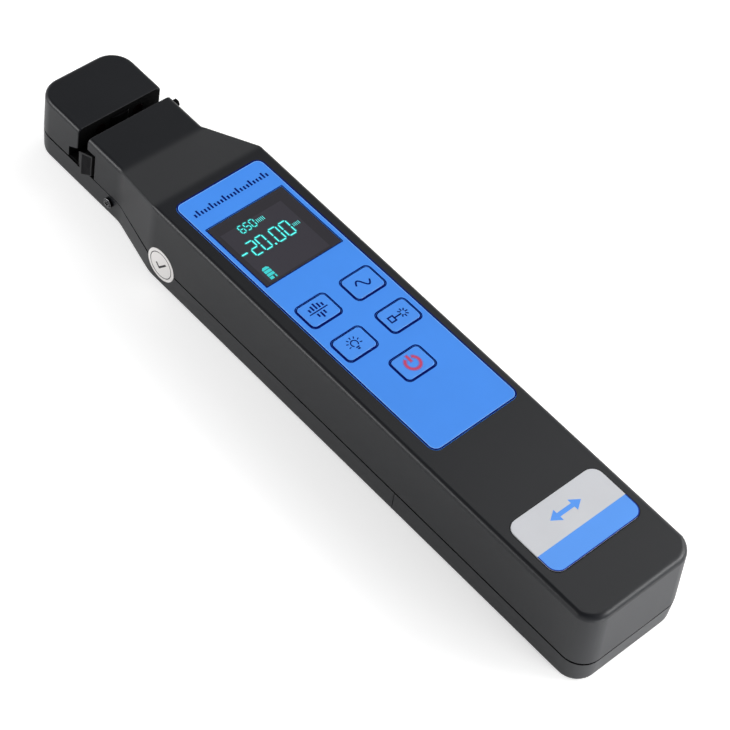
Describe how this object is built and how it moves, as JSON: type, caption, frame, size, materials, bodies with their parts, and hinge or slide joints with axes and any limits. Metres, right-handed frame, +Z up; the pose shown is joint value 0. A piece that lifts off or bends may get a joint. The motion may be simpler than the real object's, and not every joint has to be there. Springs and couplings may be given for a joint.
{
  "type": "optical fibre identifier",
  "caption": "Hand-held tester with a long flat case, a stepped-down neck, a fibre slot with a sliding jaw and squeeze lever, a display window, press keys and a sliding battery door.",
  "frame": {"origin": "middle of the resting face under the whole length", "axes": "+X from the head with the fibre slot to the tail, +Y across the width away from the side with the seal, +Z up through the keys"},
  "size_m": [0.2056, 0.0353, 0.0261],
  "materials": {
    "case_black": "fine moulded grain",
    "panel_blue": "printed film, satin",
    "key_blue": "satin",
    "window_dark": "smoked, polished",
    "plate_grey": "printed film, satin",
    "seal_white": "paper",
    "jaw_black": "fine grain",
    "pad_grey": "soft",
    "steel": "ground",
    "steel_dark": "blackened",
    "guide_steel": "rolled sheet",
    "board_green": "solder mask",
    "chip_black": "moulded",
    "cell_glass": "polished",
    "frame_white": "moulded",
    "lens_red": "polished",
    "can_gold": "plated",
    "sleeve_bright": "turned",
    "tray_black": "moulded",
    "cell_wrap": "printed wrap",
    "contact_bright": "plated",
    "lead_red": "insulated wire",
    "flex_amber": "film"
  },
  "bodies": {
    "case": {"upper_shell": "case_black", "head_cap": "case_black", "lower_shell": "case_black", "face_panel": "panel_blue", "display_window": "window_dark", "end_plate": "plate_grey", "seal_sticker": "seal_white", "jaw_guide": "guide_steel", "trigger_pin": "steel_dark", "trigger_spring": "steel", "bend_anvil": "steel", "detector_lenses": "lens_red", "light_detectors": "can_gold", "detector_board": "board_green", "head_flex": "flex_amber", "laser_port": "sleeve_bright", "laser_diode": "can_gold", "main_board": "board_green", "board_chips": "chip_black", "key_switches": "chip_black", "beeper": "chip_black", "display_glass": "cell_glass", "display_frame": "frame_white", "battery_tray": "tray_black", "battery_cells": "cell_wrap", "contact_plates": "contact_bright", "contact_springs": "contact_bright", "battery_leads": "lead_red", "case_screws": "steel_dark", "inner_screws": "steel"},
    "jaw": {"jaw_slide": "jaw_black", "fibre_pad": "pad_grey", "drive_pin": "steel", "lock_screw": "steel_dark"},
    "lever": {"trigger": "jaw_black"},
    "door": {"battery_door": "case_black"},
    "key_wave_cap": {"key_wave": "key_blue"},
    "key_units_cap": {"key_units": "key_blue"},
    "key_lamp_cap": {"key_lamp": "key_blue"},
    "key_laser_cap": {"key_laser": "key_blue"},
    "key_power_cap": {"key_power": "key_blue"}
  },
  "joints": [
    {"name": "lever_turn", "type": "hinge", "parent": "case", "child": "lever", "pos_m": [-0.0716, 0, 0.0055], "axis": [0, -1, 0], "range_deg": [0, 20], "deforming": ["trigger_spring"]},
    {"name": "jaw_travel", "type": "slide", "parent": "case", "child": "jaw", "axis": [-1, 0, 0], "range_m": [0, 0.00349], "stiffness_N_per_m": 150, "springref_m": -0.001},
    {"name": "door_slide", "type": "slide", "parent": "case", "child": "door", "axis": [1, 0, 0], "range_m": [0, 0.06]},
    {"name": "key_wave_press", "type": "slide", "parent": "case", "child": "key_wave_cap", "axis": [0, 0, -1], "range_m": [0, 0.00035], "stiffness_N_per_m": 2000, "springref_m": -0.0002},
    {"name": "key_units_press", "type": "slide", "parent": "case", "child": "key_units_cap", "axis": [0, 0, -1], "range_m": [0, 0.00035], "stiffness_N_per_m": 2000, "springref_m": -0.0002},
    {"name": "key_lamp_press", "type": "slide", "parent": "case", "child": "key_lamp_cap", "axis": [0, 0, -1], "range_m": [0, 0.00035], "stiffness_N_per_m": 2000, "springref_m": -0.0002},
    {"name": "key_laser_press", "type": "slide", "parent": "case", "child": "key_laser_cap", "axis": [0, 0, -1], "range_m": [0, 0.00035], "stiffness_N_per_m": 2000, "springref_m": -0.0002},
    {"name": "key_power_press", "type": "slide", "parent": "case", "child": "key_power_cap", "axis": [0, 0, -1], "range_m": [0, 0.00035], "stiffness_N_per_m": 2000, "springref_m": -0.0002}
  ],
  "couplings": [
    {"joint": "lever_turn", "follows": "jaw_travel", "rad_per_m": 100.1}
  ]
}
